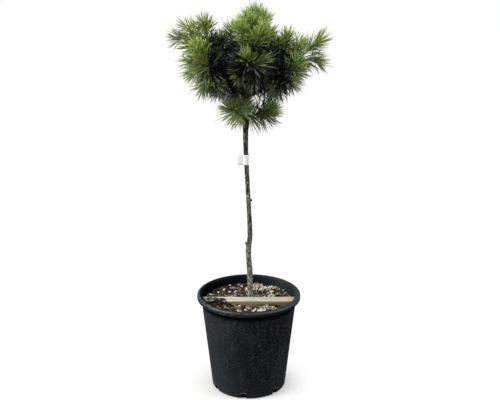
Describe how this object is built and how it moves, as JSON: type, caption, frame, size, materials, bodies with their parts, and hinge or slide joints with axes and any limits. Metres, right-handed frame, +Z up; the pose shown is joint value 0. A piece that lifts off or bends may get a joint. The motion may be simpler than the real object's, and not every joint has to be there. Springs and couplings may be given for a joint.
{
  "type": "grafted dwarf pine on a tall stem in a round pot",
  "caption": "Dwarf pine with a dense bushy crown of long needles, grafted on a tall bare stem, standing in a round black nursery pot of bark compost with a batten across it.",
  "frame": {"origin": "centre of the pot's flat underside, on the surface that the pot stands on", "axes": "+Z up along the stem, -Y towards the front, the side that the picture shows, +X to the right as seen from the front"},
  "size_m": [0.4617, 0.3782, 1.1262],
  "materials": {
    "pot": "satin black moulded plastic with fine pale scuffs",
    "soil": "dark bark compost with pale pumice grains",
    "batten": "weathered sawn softwood",
    "tag": "blank white coated paper",
    "bark": "grey-brown pine bark",
    "needles": "green pine needles, bright at the upper tips and dark low inside"
  },
  "bodies": {
    "root": {"pot": "pot", "soil": "soil", "batten": "batten", "tag": "tag", "trunk": "bark", "bough_left_high": "bark", "bough_left_front": "bark", "bough_front": "bark", "bough_right_front": "bark", "bough_right": "bark", "bough_right_high": "bark", "bough_top_front": "bark", "bough_back_left": "bark", "bough_back": "bark", "bough_back_right": "bark", "bough_top_back": "bark", "bough_low_left": "bark", "bough_low_right": "bark", "bough_low_back": "bark", "needles_left_high": "needles", "needles_left_front": "needles", "needles_front": "needles", "needles_right_front": "needles", "needles_right": "needles", "needles_right_high": "needles", "needles_top_front": "needles", "needles_back_left": "needles", "needles_back": "needles", "needles_back_right": "needles", "needles_top_back": "needles", "needles_low_left": "needles", "needles_low_right": "needles", "needles_low_back": "needles", "needles_top": "needles"}
  },
  "joints": []
}
